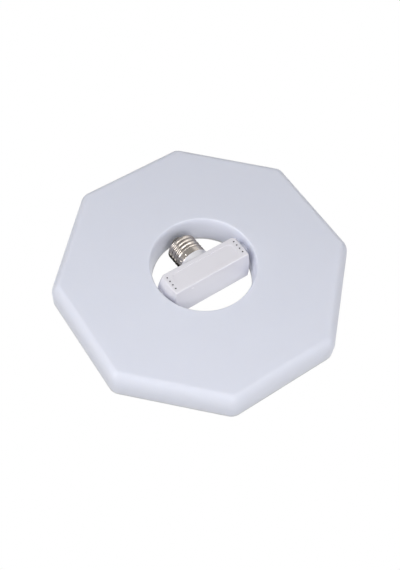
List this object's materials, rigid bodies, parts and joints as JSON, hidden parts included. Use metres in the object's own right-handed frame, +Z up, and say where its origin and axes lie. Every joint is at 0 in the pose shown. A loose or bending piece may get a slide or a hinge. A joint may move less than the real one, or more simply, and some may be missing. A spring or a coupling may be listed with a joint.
{
  "type": "folding ring ceiling light",
  "caption": "Flat eight-sided luminous ring with a round hole, turning on a driver box that carries a screw lamp cap, so it folds flat against the cap or opens square to it.",
  "frame": {"origin": "tip of the lamp cap's centre contact, where the part meets the lamp holder that carries it", "axes": "+Z up along the cap's axis into the lamp holder, +X along the pivot axis, -Y towards the driver box's lid; the ring is stored folded, its luminous face towards -Y and leaning down by 7 degrees"},
  "size_m": [0.231, 0.0529, 0.2308],
  "materials": {
    "diffuser_plastic": "milky satin",
    "cover_plastic": "fine grained white",
    "housing_plastic": "satin white",
    "bearing_plastic": "natural white",
    "plated_shell": "nickel plated",
    "contact_metal": "plated",
    "black_insulator": "glassy black",
    "steel": "zinc plated",
    "board_aluminium": "white solder mask",
    "led_package": "phosphor",
    "connector_plastic": "white",
    "circuit_board": "solder mask",
    "ferrite": "dull grey",
    "winding": "tape over copper",
    "can_aluminium": "sleeved",
    "film_plastic": "resin",
    "black_part": "moulded",
    "fuse_body": "lacquered",
    "red_lead": "insulated",
    "blue_lead": "insulated"
  },
  "bodies": {
    "driver_head": {"driver_housing": "housing_plastic", "driver_lid": "housing_plastic", "trunnion_right": "steel", "trunnion_left": "steel", "trunnion_nut_right": "steel", "trunnion_nut_left": "steel", "screw_shell": "plated_shell", "cap_insulator": "black_insulator", "centre_contact": "contact_metal", "driver_board": "circuit_board", "driver_board_screws": "steel", "transformer_core": "ferrite", "transformer_winding": "winding", "bulk_capacitor": "can_aluminium", "output_capacitor": "can_aluminium", "film_capacitor": "film_plastic", "filter_choke": "ferrite", "fuse_resistor": "fuse_body", "bridge_rectifier": "black_part", "driver_chip": "black_part", "live_lead": "red_lead", "neutral_lead": "blue_lead", "output_leads": "red_lead"},
    "lamp_ring": {"diffuser": "diffuser_plastic", "back_cover": "cover_plastic", "led_board": "board_aluminium", "led_chips_outer": "led_package", "led_chips_inner": "led_package", "led_board_screws": "steel", "board_connector": "connector_plastic", "cover_screws": "steel", "pivot_block_right": "bearing_plastic", "pivot_block_left": "bearing_plastic", "pivot_block_screws": "steel", "friction_washer_right": "steel", "friction_washer_left": "steel", "ring_leads": "red_lead"}
  },
  "joints": [
    {"name": "ring_turn", "type": "hinge", "parent": "driver_head", "child": "lamp_ring", "pos_m": [0, 0, -0.0399], "axis": [1, 0, 0], "range_deg": [-7, 173]}
  ]
}
